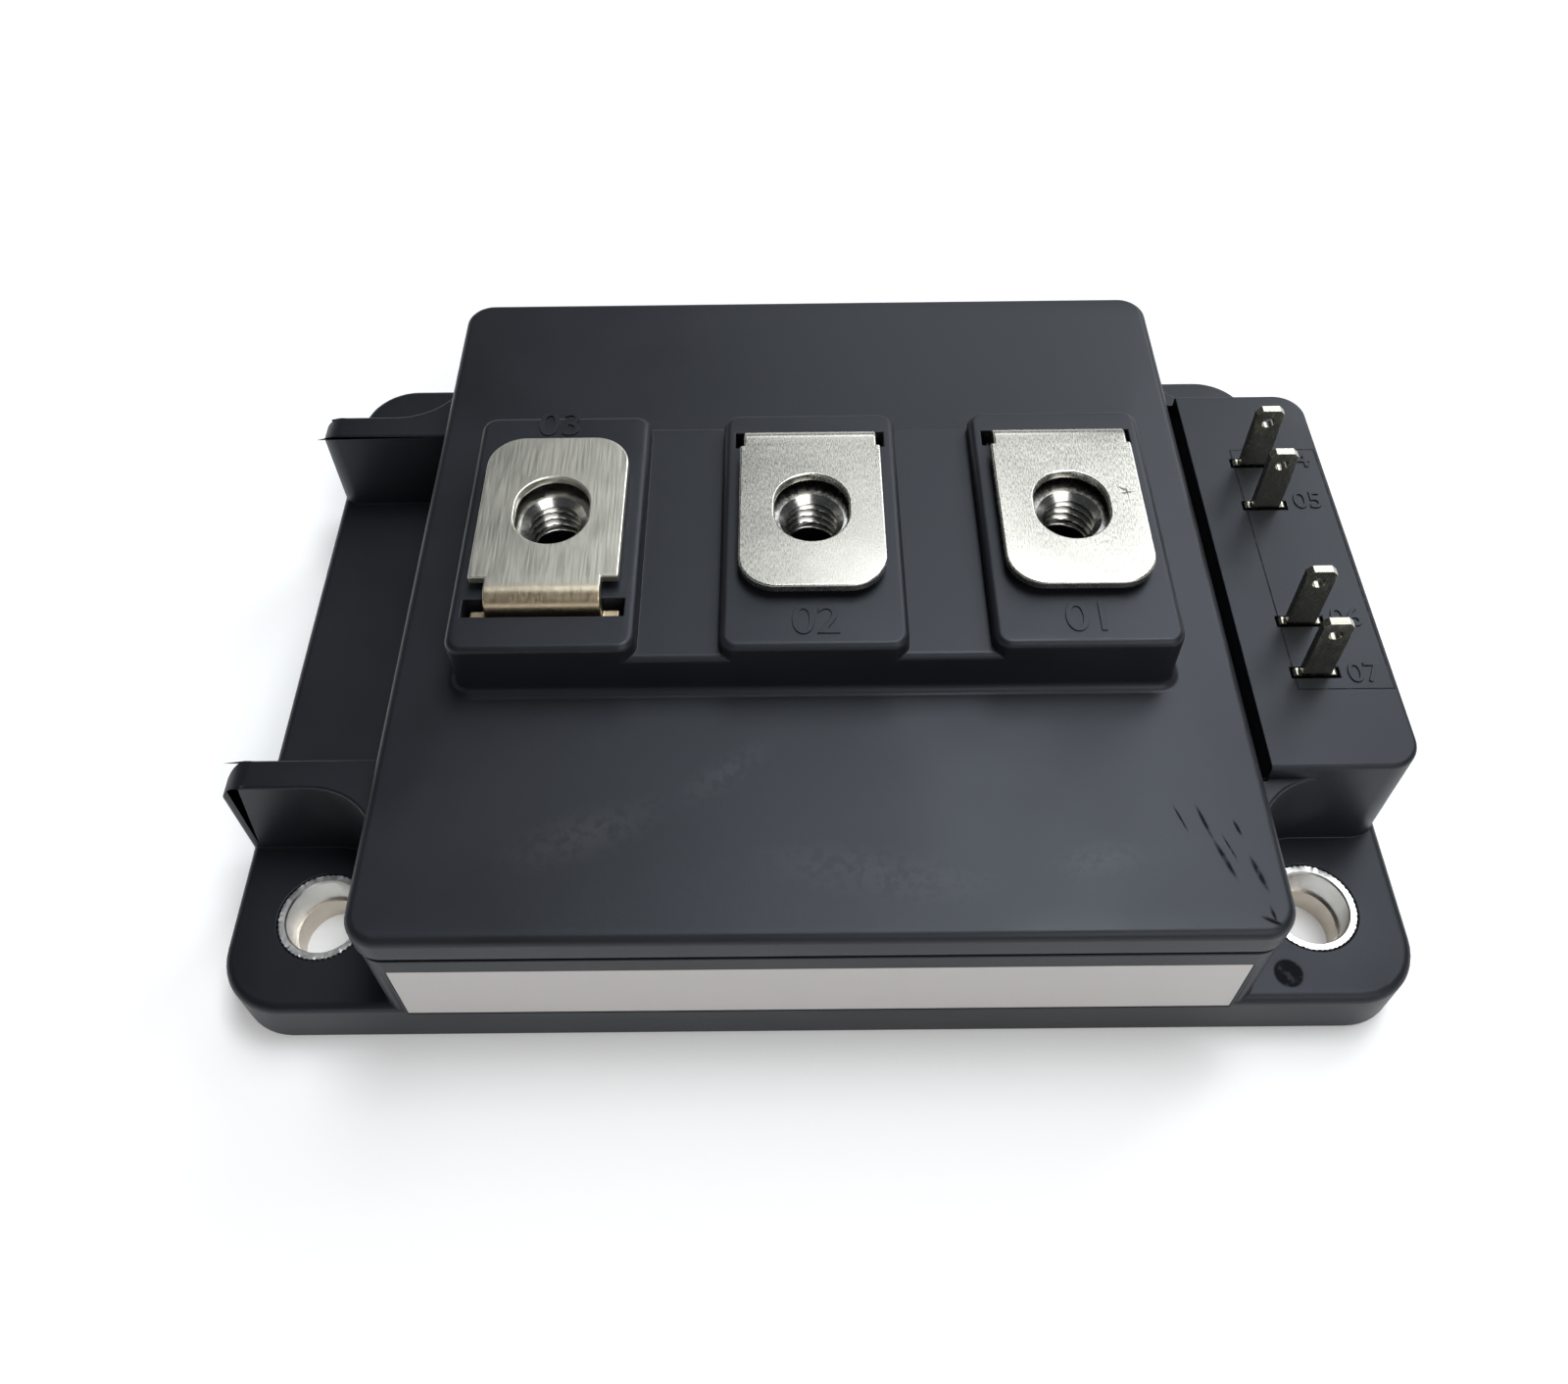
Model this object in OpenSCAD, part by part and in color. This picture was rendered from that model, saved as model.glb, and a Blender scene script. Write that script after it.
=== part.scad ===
// Power switch module: two insulated-gate transistor arms in one moulded case.
// Millimetres, +Z up, +X along the row of main terminals.
// The origin is the centre of the base plate's underside.

/* [Case] */
// Depth of the case, front face to rear face
case_depth = 80; // [72:1:110]
// Reach of each mounting ear beyond the end of the lid
ear_length = 15; // [14:0.5:20]
// Top of the mounting flange above the heat sink
flange_height = 6.5; // [5.5:0.25:9]
// Plan radius of the flange corners
flange_corner_r = 6; // [3:0.5:8]
// Rounding of the long moulded edges
edge_r = 0.9; // [0.3:0.1:1.2]
// Joint between the case walls and the lid
seam_height = 17.3; // [15:0.1:24]
// Plan radius of the corners of the case walls
body_corner_r = 2.5; // [1.5:0.25:4]
// Wall at the two ends of the case
end_wall = 2.5; // [1.5:0.25:3.5]
// Wall at the front and the rear of the case
side_wall = 3; // [2:0.25:4]
// Height of the shadow line under the lid's rim
shadow_height = 0.4; // [0.2:0.1:0.8]
// Depth of the shadow line
shadow_depth = 0.5; // [0.2:0.1:1]

/* [Wings and signal ledge] */
// How far the wings stand above the seam
wing_rise = 0.7; // [0.2:0.1:2]
// Thickness of each wing
wing_thickness = 3; // [2:0.25:5]
// Large plan radius at the tip of each wing
wing_tip_r = 2.2; // [1:0.1:2.4]
// Radius of the top corner at the tip of each wing
wing_top_r = 2.8; // [0.5:0.1:5]
// How far the signal ledge stands above the seam
ledge_rise = 2.5; // [2.3:0.1:4]
// Plan radius of the ledge's outer corners
ledge_corner_r = 3; // [1.5:0.25:5]
// Gap between the lid and the ledge
ledge_gap = 1.1; // [0.6:0.1:2]
// Wall of the hollow ledge
ledge_wall = 2.2; // [1.5:0.1:3]
// Radius of the screw pockets round the mounting holes
pocket_r = 7.2; // [6.8:0.1:7.6]

/* [Lid] */
// Thickness of the lid's rim above the seam
lid_height = 3.2; // [2.8:0.1:5]
// Plan radius of the lid's corners
lid_corner_r = 3; // [1.5:0.25:5]
// Overhang of the lid past the end walls
lid_overhang = 0.5; // [0.2:0.1:1]
// Lid surface left free at each end of the terminal block
lid_border = 6.3; // [4:0.1:10]
// Wall thickness of the lid
lid_wall = 2.2; // [1.5:0.1:2.6]
// Depth of the locating lip below the seam
lip_depth = 2; // [1:0.25:4]
// Width of the locating lip
lip_width = 1.5; // [1:0.1:2.5]
// Gap between the lip and the case walls
lip_clearance = 0.15; // [0.05:0.05:0.4]

/* [Terminal block] */
// Distance between neighbouring main terminals
terminal_pitch = 25; // [20.8:0.1:32]
// Width of each raised pad
pad_width = 17.4; // [16.8:0.1:20]
// Height of the block above the lid
block_height = 5; // [4:0.1:8]
// Height of the pads above the block
pad_height = 1.8; // [1:0.1:3]
// Reach of the block in front of the screw holes
block_front = 15.3; // [14.4:0.1:18]
// Reach of the block behind the screw holes
block_rear = 14.3; // [14:0.1:18]
// Plan radius of the block and pad corners
block_corner_r = 1.6; // [1:0.1:2.5]
// Rounding of the block and pad top edges
block_edge_r = 0.7; // [0.3:0.1:0.9]
// Radius of the fillet at the foot of the block
foot_fillet = 0.9; // [0.4:0.1:1.5]

/* [Main terminals] */
// Width of each terminal strap
strap_width = 14; // [12:0.25:15]
// Thickness of each terminal strap
strap_thickness = 1; // [0.8:0.1:1.5]
// Gap between pad and strap
strap_gap = 0.7; // [0.3:0.1:1.2]
// Reach of the free end from the screw centre
strap_reach = 9.6; // [8:0.1:11]
// Plan radius of the free end's corners
strap_corner_r = 3.6; // [1:0.1:5]
// Distance from the screw centre to the outside of the leg
leg_distance = 11; // [10:0.1:12]
// Outer radius of the bend
bend_r = 1.8; // [1.7:0.1:2.5]
// Width of the screw hole
hole_width = 7.2; // [6.4:0.1:8]
// Length of the screw hole
hole_length = 8.4; // [7.2:0.1:9.5]
// Depth of the relief notch on each side of the left terminal's bend
notch_depth = 1.6; // [1:0.1:2.5]
// Depth of the relief notches of the other two terminals
small_notch_depth = 0.4; // [0.2:0.1:1]
// Length of the soldered feet
foot_length = 3.4; // [2:0.1:4]
// Clearance round each strap in its slot
slot_clearance = 0.5; // [0.2:0.05:0.6]

/* [Terminal nuts] */
// Width across flats of the captive nuts
nut_flats = 10; // [9:0.1:11]
// Height of the captive nuts
nut_height = 5; // [4:0.1:6]
// Core bore of the thread
nut_bore = 5; // [4:0.1:6]
// Diameter of the countersink at each end of the thread
nut_countersink = 6.3; // [6.1:0.1:8]
// Clearance across flats of the nut pockets
nut_clearance = 0.2; // [0.05:0.05:0.5]
// Diameter of the screw well under each nut
well_bore = 7; // [6.5:0.1:7.5]
// Depth of the screw well under each nut
well_depth = 3.4; // [2:0.1:4]

/* [Mounting holes] */
// Distance from the hole centre to the end of the flange
hole_edge_x = 8.5; // [8:0.1:9]
// Distance from the hole centre to the front or rear face
hole_edge_y = 9; // [8.5:0.1:12]
// Screw hole in the base plate
plate_bore = 6.5; // [5.5:0.1:6.8]
// Bore of the steel bushes
bush_bore = 7; // [6.9:0.1:7.6]
// Outside diameter of the steel bushes
bush_diameter = 8.7; // [8.2:0.1:10]

/* [Signal pins] */
// Distance from the middle of the ledge to the near pin of each pair
pin_inner = 7.5; // [5:0.1:9]
// Distance from the middle of the ledge to the far pin of each pair
pin_outer = 13.5; // [11:0.1:17]
// Distance from the pins to the outer face of the ledge
pin_edge = 7.5; // [6:0.1:8]
// Width of a pin blade
pin_width = 2.8; // [2:0.1:3.4]
// Thickness of a pin blade
pin_thickness = 0.8; // [0.5:0.1:1]
// Height of a pin blade above the ledge
pin_rise = 8.2; // [6:0.1:10]
// Width of the shoulder that locks a pin in the ledge
shoulder_width = 4.2; // [3.6:0.1:4.4]
// Diameter of the wire hole near the tip
pin_hole = 1.3; // [0.8:0.1:1.6]

/* [Base plate and label] */
// Thickness of the base plate
plate_thickness = 3; // [2:0.25:4]
// How far the plate stands out below the case
plate_proud = 0.3; // [0.1:0.05:0.6]
// Width of the case skirt outside the plate
skirt = 2.2; // [1.5:0.1:3]
// Gap between the plate and the skirt
plate_clearance = 0.1; // [0.05:0.05:0.3]
// Plan radius of the plate corners
plate_corner_r = 4; // [2:0.5:6]
// Length of the label
label_length = 74.4; // [50:0.1:74.4]
// Height of the label
label_height = 9.2; // [6:0.1:9.8]
// Lower edge of the label
label_bottom = 5.4; // [4:0.1:6]
// Depth of the label's recess
label_recess = 0.3; // [0.15:0.05:0.5]
// Thickness of the label
label_thickness = 0.2; // [0.1:0.05:0.3]

/* [Power substrates] */
// Depth of each insulating substrate
substrate_depth = 46; // [44:0.5:54]
// Gap from the middle of the case to each substrate
substrate_gap = 2; // [1:0.25:2.4]
// Gap from each substrate to the end wall
substrate_margin = 1; // [0.5:0.1:2]
// Solder under each substrate
solder_thickness = 0.2; // [0.1:0.05:0.3]
// Copper foil on both sides of the ceramic
foil_thickness = 0.3; // [0.2:0.05:0.5]
// Ceramic plate
ceramic_thickness = 0.6; // [0.3:0.05:1]
// Bare border of the ceramic
ceramic_border = 1; // [0.5:0.1:1]
// Width of the emitter track
emitter_track = 5.5; // [5:0.1:6]
// Width of the gate track
gate_track = 1.4; // [1:0.1:1.5]
// Gap between tracks
track_gap = 0.8; // [0.5:0.1:1]
// Side of each transistor die
igbt_size = 10.5; // [8:0.1:10.5]
// Side of each diode die
diode_size = 7; // [5:0.1:7]
// Thickness of the dies with their solder
die_thickness = 0.3; // [0.2:0.05:0.5]
// Distance of the outer die row from the middle of the case
row_outer = 15; // [14:0.1:16]
// Distance of the inner die row from the middle of the case
row_inner = 1; // [0:0.1:2]

/* [Wires and gel] */
// Diameter of the bond wires
wire_diameter = 0.4; // [0.3:0.05:0.5]
// Distance between neighbouring bond wires
wire_pitch = 2.2; // [1.6:0.1:2.4]
// Diameter of the gate leads
lead_diameter = 0.8; // [0.6:0.1:1]
// Height of the gate leads' run across the case
lead_height = 12.6; // [11.5:0.1:13.5]
// Bend radius of the gate leads
lead_bend_r = 1.5; // [1:0.1:2]
// Surface of the potting gel
gel_height = 10.5; // [9:0.1:11]

/* [Hidden] */
$fn = 96;

// Overall places
cut = 1;
block_length = 2 * terminal_pitch + pad_width;
lid_length = block_length + 2 * lid_border;
case_length = lid_length + 2 * ear_length;
body_length = lid_length - 2 * lid_overhang;
end_x = case_length / 2;
face_y = case_depth / 2;
hole_x = end_x - hole_edge_x;
hole_y = face_y - hole_edge_y;
arm_y = hole_y - pocket_r;
lid_top = seam_height + lid_height;
block_top = lid_top + block_height;
pad_top = block_top + pad_height;
strap_top = pad_top + strap_gap + strap_thickness;
wing_top = seam_height + wing_rise;
ledge_top = seam_height + ledge_rise;
ledge_x = lid_length / 2 + ledge_gap;
wing_side_gap = 0.2;

// Hollow of the case
hollow_x = body_length / 2 - end_wall;
hollow_y = face_y - side_wall;
ledge_ceiling = ledge_top - ledge_wall;
groove_drop = 0.6;

// Terminals
block_middle_y = (block_rear - block_front) / 2;
boss_wall = 1.7;
boss_r = (nut_flats + nut_clearance) / sqrt(3) + boss_wall;
pocket_floor = pad_top - nut_height - 0.1;
well_floor = pocket_floor - well_depth;
boss_bottom = well_floor - 1.4;
notch_length = 1;
foot_bend_r = strap_thickness + 0.6;

// Signal pins
pin_x = end_x - pin_edge;
slot_play = 0.2;
slot_recess = 0.9;
shoulder_proud = 0.2;
tip_chamfer = 0.5;
pin_hole_drop = 1.7;
pin_tail = lead_height - 1;
pin_y = [pin_outer, pin_inner, -pin_inner, -pin_outer];

// Power stack
foil_z = plate_thickness + solder_thickness;
ceramic_z = foil_z + foil_thickness;
track_z = ceramic_z + ceramic_thickness;
die_z = track_z + foil_thickness;
die_top = die_z + die_thickness;
substrate_end = hollow_x - substrate_margin;
track_start = substrate_gap + ceramic_border;
gate_start = track_start + emitter_track + track_gap;
collector_start = gate_start + gate_track + track_gap;
collector_end = substrate_end - ceramic_border;
igbt_x = collector_start + 0.8 + igbt_size / 2;
diode_x = collector_end - 0.8 - diode_size / 2;
die_rows = [-row_outer, -row_inner];

// Bond wires and link
wire_angle = 62;
emitter_foot_x = track_start + 3.6;
igbt_foot_x = igbt_x + 1.2;
diode_foot_x = diode_x - 1;
igbt_stitch_x = igbt_x + 3.2;
gate_pad_x = igbt_x - igbt_size / 2 + 1;
gate_pad_y = 4.2;
emitter_shift = 0.6;
lead_foot_x = track_start + 0.9;
link_y = row_outer + igbt_size / 2 + 0.5;
link_width = 1.6;
link_top = die_z + 3.4;

// Flat shapes

// A rectangle with rounded corners, centred
module rounded_rect(l, w, r) {
    square([l - 2 * r, w], center = true);
    square([l, w - 2 * r], center = true);
    for (x = [-1, 1], y = [-1, 1])
        translate([x * (l / 2 - r), y * (w / 2 - r)])
            circle(r = r);
}

// Half section of a slab: a rectangle whose upper outer corner is rounded
module slab_section(r, h, e) {
    difference() {
        square([r, h]);
        translate([r - e, h - e])
            difference() {
                square([e + cut, e + cut]);
                circle(r = e);
            }
    }
}

// Section of a fillet between a floor and a wall
module fillet_section(f) {
    difference() {
        square([f, f]);
        translate([f, f])
            circle(r = f);
    }
}

// Solid shapes

// A section carried round a rounded rectangle: quarter turns at the corners,
// straight runs between them
module carry_round(l, w, r, start) {
    for (x = [0, 1], y = [0, 1])
        mirror([x, 0, 0]) mirror([0, y, 0])
            translate([l / 2 - r, w / 2 - r, 0])
                rotate_extrude(angle = 90)
                    translate([start, 0])
                        children();
    for (x = [0, 1])
        mirror([x, 0, 0])
            translate([l / 2 - r + start, 0, 0])
                rotate([90, 0, 0])
                    linear_extrude(w - 2 * r, center = true)
                        children();
    for (y = [0, 1])
        mirror([0, y, 0])
            translate([0, w / 2 - r + start, 0])
                rotate([90, 0, 90])
                    linear_extrude(l - 2 * r, center = true)
                        children();
}

// A slab with rounded plan corners and a rounded top edge
module slab(l, w, h, r, e) {
    translate([-(l / 2 - r), -(w / 2 - r), 0])
        cube([l - 2 * r, w - 2 * r, h]);
    carry_round(l, w, r, 0)
        slab_section(r, h, e);
}

// A block standing on a plane, centred on its own plan position
module block_at(x, y, z, l, w, h) {
    translate([x - l / 2, y - w / 2, z])
        cube([l, w, h]);
}

// A section drawn in Y and Z, carried along X and centred there
module along_x(width) {
    rotate([90, 0, 90])
        linear_extrude(width, center = true)
            children();
}

module at_mounting_holes() {
    for (x = [-1, 1], y = [-1, 1])
        translate([x * hole_x, y * hole_y, 0])
            children();
}

// Case

module case_walls() {
    translate([0, 0, plate_proud])
        slab(case_length, case_depth, flange_height - plate_proud, flange_corner_r, edge_r);
    translate([0, 0, plate_proud])
        linear_extrude(seam_height - plate_proud)
            rounded_rect(body_length, case_depth, body_corner_r);
}

// The square corner at the origin with its rounded part taken out
module corner_cut(r) {
    translate([-cut, -cut])
        difference() {
            square([r + cut, r + cut]);
            translate([r + cut, r + cut])
                circle(r = r);
        }
}

// The wall of one wing: a wide radius at the tip's inner corner, a small one outside,
// and the tip's top corner rounded off
module wing(side) {
    outer_tip_r = 0.6;
    reach = end_x - body_length / 2 + end_wall / 2;
    difference() {
        translate([-end_x, 0, plate_proud + cut])
            linear_extrude(wing_top - plate_proud - cut)
                mirror([0, side, 0])
                    difference() {
                        translate([0, arm_y - wing_thickness])
                            square([reach, wing_thickness]);
                        translate([0, arm_y - wing_thickness])
                            corner_cut(wing_tip_r);
                        translate([0, arm_y])
                            mirror([0, 1, 0])
                                corner_cut(outer_tip_r);
                    }
        translate([-end_x, -arm_y - cut, wing_top])
            rotate([-90, 0, 0])
                linear_extrude(2 * (arm_y + cut))
                    corner_cut(wing_top_r);
    }
}

// Solid corner between an arm of the case and its body, hollowed by the pocket
module pocket_web() {
    inner = body_length / 2 - end_wall / 2;
    translate([inner, arm_y - wing_thickness, plate_proud + cut])
        cube([hole_x - inner, hole_y - arm_y + wing_thickness, wing_top - plate_proud - cut]);
}

module ledge() {
    inner = hollow_x - end_wall;
    length = end_x - inner;
    translate([inner + length / 2, 0, plate_proud + cut])
        slab(length, 2 * arm_y, ledge_top - plate_proud - cut, ledge_corner_r, edge_r / 2);
}

module shadow_line() {
    translate([0, 0, seam_height - shadow_height])
        linear_extrude(shadow_height + cut)
            difference() {
                rounded_rect(body_length, case_depth, body_corner_r);
                rounded_rect(body_length - 2 * shadow_depth, case_depth - 2 * shadow_depth,
                    body_corner_r - shadow_depth);
            }
}

// Room for the lid above the seam, and the floor of the groove beside it
module lid_room() {
    block_at(0, 0, seam_height, lid_length + 2 * wing_side_gap, case_depth + 2 * cut,
        ledge_rise + cut);
    translate([0, -face_y, seam_height - groove_drop])
        intersection() {
            translate([body_length / 2, 0, 0])
                cube([ledge_x - body_length / 2, case_depth, ledge_rise + groove_drop + cut]);
            translate([0, face_y - arm_y, 0])
                cube([end_x, 2 * arm_y, ledge_rise + groove_drop + cut]);
        }
}

module case_hollow() {
    block_at(0, 0, -cut, 2 * hollow_x, 2 * hollow_y, seam_height + 2 * cut);
    translate([0, -(arm_y - ledge_wall), -cut])
        cube([end_x - ledge_wall, 2 * (arm_y - ledge_wall), seam_height - ledge_wall + cut]);
    translate([ledge_x + ledge_wall, -(arm_y - ledge_wall), -cut])
        cube([end_x - 2 * ledge_wall - ledge_x, 2 * (arm_y - ledge_wall), ledge_ceiling + cut]);
    translate([0, 0, -cut])
        linear_extrude(plate_thickness + cut)
            rounded_rect(case_length - 2 * skirt, case_depth - 2 * skirt, plate_corner_r);
}

module pin_slots() {
    for (y = pin_y) {
        block_at(pin_x, y, ledge_ceiling - cut, shoulder_width, pin_thickness, ledge_wall + 2 * cut);
        block_at(pin_x, y, ledge_top - slot_recess, shoulder_width + 2 * slot_play,
            pin_thickness + 2 * slot_play, slot_recess + cut);
    }
}

module case() {
    color([0.12, 0.12, 0.14])
        difference() {
            union() {
                case_walls();
                wing(0);
                wing(1);
                ledge();
                for (x = [0, 1], y = [0, 1])
                    mirror([x, 0, 0]) mirror([0, y, 0])
                        pocket_web();
            }
            case_hollow();
            lid_room();
            shadow_line();
            pin_slots();
            at_mounting_holes() {
                translate([0, 0, flange_height])
                    cylinder(r = pocket_r, h = ledge_top);
                cylinder(d = bush_diameter, h = flange_height + cut);
            }
            translate([-label_length / 2, -face_y - cut, label_bottom])
                cube([label_length, label_recess + cut, label_height]);
        }
}

module label() {
    color([0.72, 0.70, 0.69])
        translate([-label_length / 2, -face_y + label_recess - label_thickness, label_bottom])
            cube([label_length, label_thickness, label_height]);
}

// Base

module base_plate() {
    color([0.75, 0.72, 0.66])
        difference() {
            linear_extrude(plate_thickness)
                rounded_rect(case_length - 2 * (skirt + plate_clearance),
                    case_depth - 2 * (skirt + plate_clearance), plate_corner_r - plate_clearance);
            at_mounting_holes()
                translate([0, 0, -cut])
                    cylinder(d = plate_bore, h = plate_thickness + 2 * cut);
        }
}

module bush(x, y) {
    color([0.8, 0.8, 0.8])
        translate([x * hole_x, y * hole_y, plate_thickness])
            difference() {
                cylinder(d = bush_diameter, h = flange_height - plate_thickness);
                translate([0, 0, -cut])
                    cylinder(d = bush_bore, h = flange_height - plate_thickness + 2 * cut);
            }
}

// Lid

// The three places of the main terminals, turned so that each leg points to +Y
module at_terminal(i) {
    translate([i * terminal_pitch, 0, 0])
        rotate([0, 0, i < 0 ? 180 : 0])
            children();
}

module terminal_block() {
    root = 1;
    translate([0, block_middle_y, lid_top - root])
        slab(block_length, block_front + block_rear, block_height + root, block_corner_r, block_edge_r);
    for (i = [-1:1])
        translate([i * terminal_pitch, block_middle_y, block_top - root])
            slab(pad_width, block_front + block_rear, pad_height + root, block_corner_r, block_edge_r);
    translate([0, block_middle_y, lid_top])
        carry_round(block_length, block_front + block_rear, block_corner_r, block_corner_r)
            fillet_section(foot_fillet);
}

module lid_lip() {
    outer_x = 2 * (hollow_x - lip_clearance);
    outer_y = 2 * (hollow_y - lip_clearance);
    translate([0, 0, seam_height - lip_depth])
        linear_extrude(lip_depth + cut)
            difference() {
                square([outer_x, outer_y], center = true);
                square([outer_x - 2 * lip_width, outer_y - 2 * lip_width], center = true);
            }
}

module lid_hollow() {
    room_x = 2 * (hollow_x - lip_clearance - lip_width);
    room_y = 2 * (hollow_y - lip_clearance - lip_width);
    block_at(0, 0, seam_height - cut, room_x, room_y, lid_height - lid_wall + cut);
    block_at(0, block_middle_y, seam_height, block_length - 2 * lid_wall,
        block_front + block_rear - 2 * lid_wall, block_top - lid_wall - seam_height);
}

module nut_boss() {
    translate([0, 0, boss_bottom])
        cylinder(r = boss_r, h = pad_top - boss_bottom - cut);
}

module nut_pocket() {
    translate([0, 0, pocket_floor])
        cylinder(d = (nut_flats + nut_clearance) * 2 / sqrt(3), h = nut_height + 2 * cut, $fn = 6);
    translate([0, 0, well_floor])
        cylinder(d = well_bore, h = well_depth + cut);
}

module strap_slot() {
    block_at(0, leg_distance - strap_thickness / 2, seam_height - cut,
        strap_width + 2 * slot_clearance, strap_thickness + 2 * slot_clearance,
        pad_top - seam_height + 2 * cut);
}

module lid() {
    color([0.17, 0.17, 0.2])
        difference() {
            union() {
                difference() {
                    union() {
                        translate([0, 0, seam_height])
                            slab(lid_length, case_depth, lid_height, lid_corner_r, edge_r);
                        terminal_block();
                        lid_lip();
                    }
                    lid_hollow();
                }
                for (i = [-1:1])
                    at_terminal(i)
                        nut_boss();
            }
            for (i = [-1:1])
                at_terminal(i) {
                    nut_pocket();
                    strap_slot();
                }
        }
}

module nut(i) {
    sink = (nut_countersink - nut_bore) / 2;
    color([0.7, 0.7, 0.7])
        at_terminal(i)
            translate([0, 0, pocket_floor])
                difference() {
                    cylinder(d = nut_flats * 2 / sqrt(3), h = nut_height, $fn = 6);
                    translate([0, 0, -cut])
                        cylinder(d = nut_bore, h = nut_height + 2 * cut);
                    translate([0, 0, nut_height - sink])
                        cylinder(d1 = nut_bore, d2 = nut_countersink + 2 * cut, h = sink + cut);
                    translate([0, 0, -cut])
                        cylinder(d1 = nut_countersink + 2 * cut, d2 = nut_bore, h = sink + cut);
                }
}

// Main terminals

// A quarter of a bent strap in section, its centre at the origin
module bend_section(outer, x, y) {
    intersection() {
        difference() {
            circle(r = outer);
            circle(r = outer - strap_thickness);
        }
        translate([x < 0 ? -outer : 0, y < 0 ? -outer : 0])
            square([outer, outer]);
    }
}

// Side view of a terminal: plate, bend and leg down to the lower bend.
// foot_side is 1 where the foot points away from the screw and -1 where it points back
module strap_section(foot_side) {
    bend_y = leg_distance - bend_r;
    leg_y = leg_distance - strap_thickness;
    foot_z = die_z + foot_bend_r;
    foot_y = foot_side > 0 ? leg_y + foot_bend_r : leg_distance - foot_bend_r;
    translate([-strap_reach, strap_top - strap_thickness])
        square([strap_reach + bend_y, strap_thickness]);
    translate([bend_y, strap_top - bend_r])
        bend_section(bend_r, 1, 1);
    translate([leg_y, foot_z])
        square([strap_thickness, strap_top - bend_r - foot_z]);
    translate([foot_y, foot_z])
        bend_section(foot_bend_r, -foot_side, -1);
    translate([foot_side > 0 ? foot_y : foot_y - foot_length, die_z])
        square([foot_length, strap_thickness]);
}

// The plan of the plate: round corners at the free end
module plate_plan() {
    r = strap_corner_r;
    far = leg_distance + foot_bend_r + foot_length;
    translate([-strap_width / 2, -strap_reach + r])
        square([strap_width, strap_reach - r + far]);
    translate([-strap_width / 2 + r, -strap_reach])
        square([strap_width - 2 * r, r + cut]);
    for (x = [-1, 1])
        translate([x * (strap_width / 2 - r), -strap_reach + r])
            circle(r = r);
}

module screw_slot() {
    stretch = (hole_length - hole_width) / 2;
    for (y = [-1, 1])
        translate([0, y * stretch])
            circle(d = hole_width);
    square([hole_width, 2 * stretch], center = true);
}

module strap_shape(foot_side, notch) {
    bend_y = leg_distance - bend_r;
    difference() {
        intersection() {
            along_x(strap_width)
                strap_section(foot_side);
            linear_extrude(strap_top + cut)
                plate_plan();
        }
        translate([0, 0, strap_top - strap_thickness - cut])
            linear_extrude(strap_thickness + 2 * cut)
                screw_slot();
        for (x = [-1, 1])
            block_at(x * strap_width / 2, bend_y - notch_length + leg_distance / 2,
                strap_top - bend_r - notch_length, 2 * notch, leg_distance,
                bend_r + notch_length + cut);
    }
}

module strap(i) {
    color(i < 0 ? [0.72, 0.69, 0.62] : [0.78, 0.78, 0.76])
        at_terminal(i)
            strap_shape(1, i < 0 ? notch_depth : small_notch_depth);
}

// The middle strap's lower leg is cut back to the left arm's emitter track
module strap_middle() {
    clear = 0.5;
    lower = -substrate_gap - clear;
    color([0.78, 0.78, 0.76])
        difference() {
            strap_shape(-1, small_notch_depth);
            translate([lower, 0, 0])
                cube([strap_width, leg_distance + cut, boss_bottom - cut]);
        }
}

// Signal pins

module signal_pin(n) {
    top = ledge_top + pin_rise;
    shoulder_r = 0.4;
    color([0.5, 0.5, 0.45])
        translate([pin_x, pin_y[n], 0])
            rotate([90, 0, 0])
                linear_extrude(pin_thickness, center = true)
                    difference() {
                        union() {
                            polygon([[-pin_width / 2, pin_tail], [pin_width / 2, pin_tail],
                                [pin_width / 2, top - tip_chamfer], [pin_width / 2 - tip_chamfer, top],
                                [-pin_width / 2 + tip_chamfer, top],
                                [-pin_width / 2, top - tip_chamfer]]);
                            translate([-shoulder_width / 2, ledge_ceiling])
                                square([shoulder_width, ledge_wall + shoulder_proud - shoulder_r]);
                            for (x = [-1, 1])
                                translate([x * (shoulder_width / 2 - shoulder_r),
                                        ledge_top + shoulder_proud - shoulder_r])
                                    circle(r = shoulder_r);
                        }
                        translate([0, top - pin_hole_drop])
                            circle(d = pin_hole);
                    }
}

// Power stack. The right arm is drawn; the left arm is the same, turned half a turn

module at_side(side) {
    rotate([0, 0, side == "left" ? 180 : 0])
        children();
}

module layer(side, border, z, h) {
    length = substrate_end - substrate_gap - 2 * border;
    at_side(side)
        block_at((substrate_end + substrate_gap) / 2, 0, z, length, substrate_depth - 2 * border, h);
}

module solder(side) {
    color([0.6, 0.6, 0.62])
        layer(side, ceramic_border, plate_thickness, solder_thickness);
}

module back_foil(side) {
    color([0.72, 0.45, 0.3])
        layer(side, ceramic_border, foil_z, foil_thickness);
}

module ceramic(side) {
    color([0.9, 0.9, 0.86])
        layer(side, 0, ceramic_z, ceramic_thickness);
}

module track(x0, x1) {
    block_at((x0 + x1) / 2, 0, track_z, x1 - x0, substrate_depth - 2 * ceramic_border, foil_thickness);
}

module tracks(side) {
    color([0.72, 0.45, 0.3])
        at_side(side) {
            track(track_start, track_start + emitter_track);
            track(gate_start, gate_start + gate_track);
            track(collector_start, collector_end);
        }
}

module die(side, x, row, size) {
    at_side(side)
        block_at(x, die_rows[row], die_z, size, size, die_thickness);
}

module igbt_die(side, row) {
    color([0.35, 0.36, 0.4])
        die(side, igbt_x, row, igbt_size);
}

module diode_die(side, row) {
    color([0.45, 0.45, 0.48])
        die(side, diode_x, row, diode_size);
}

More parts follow.
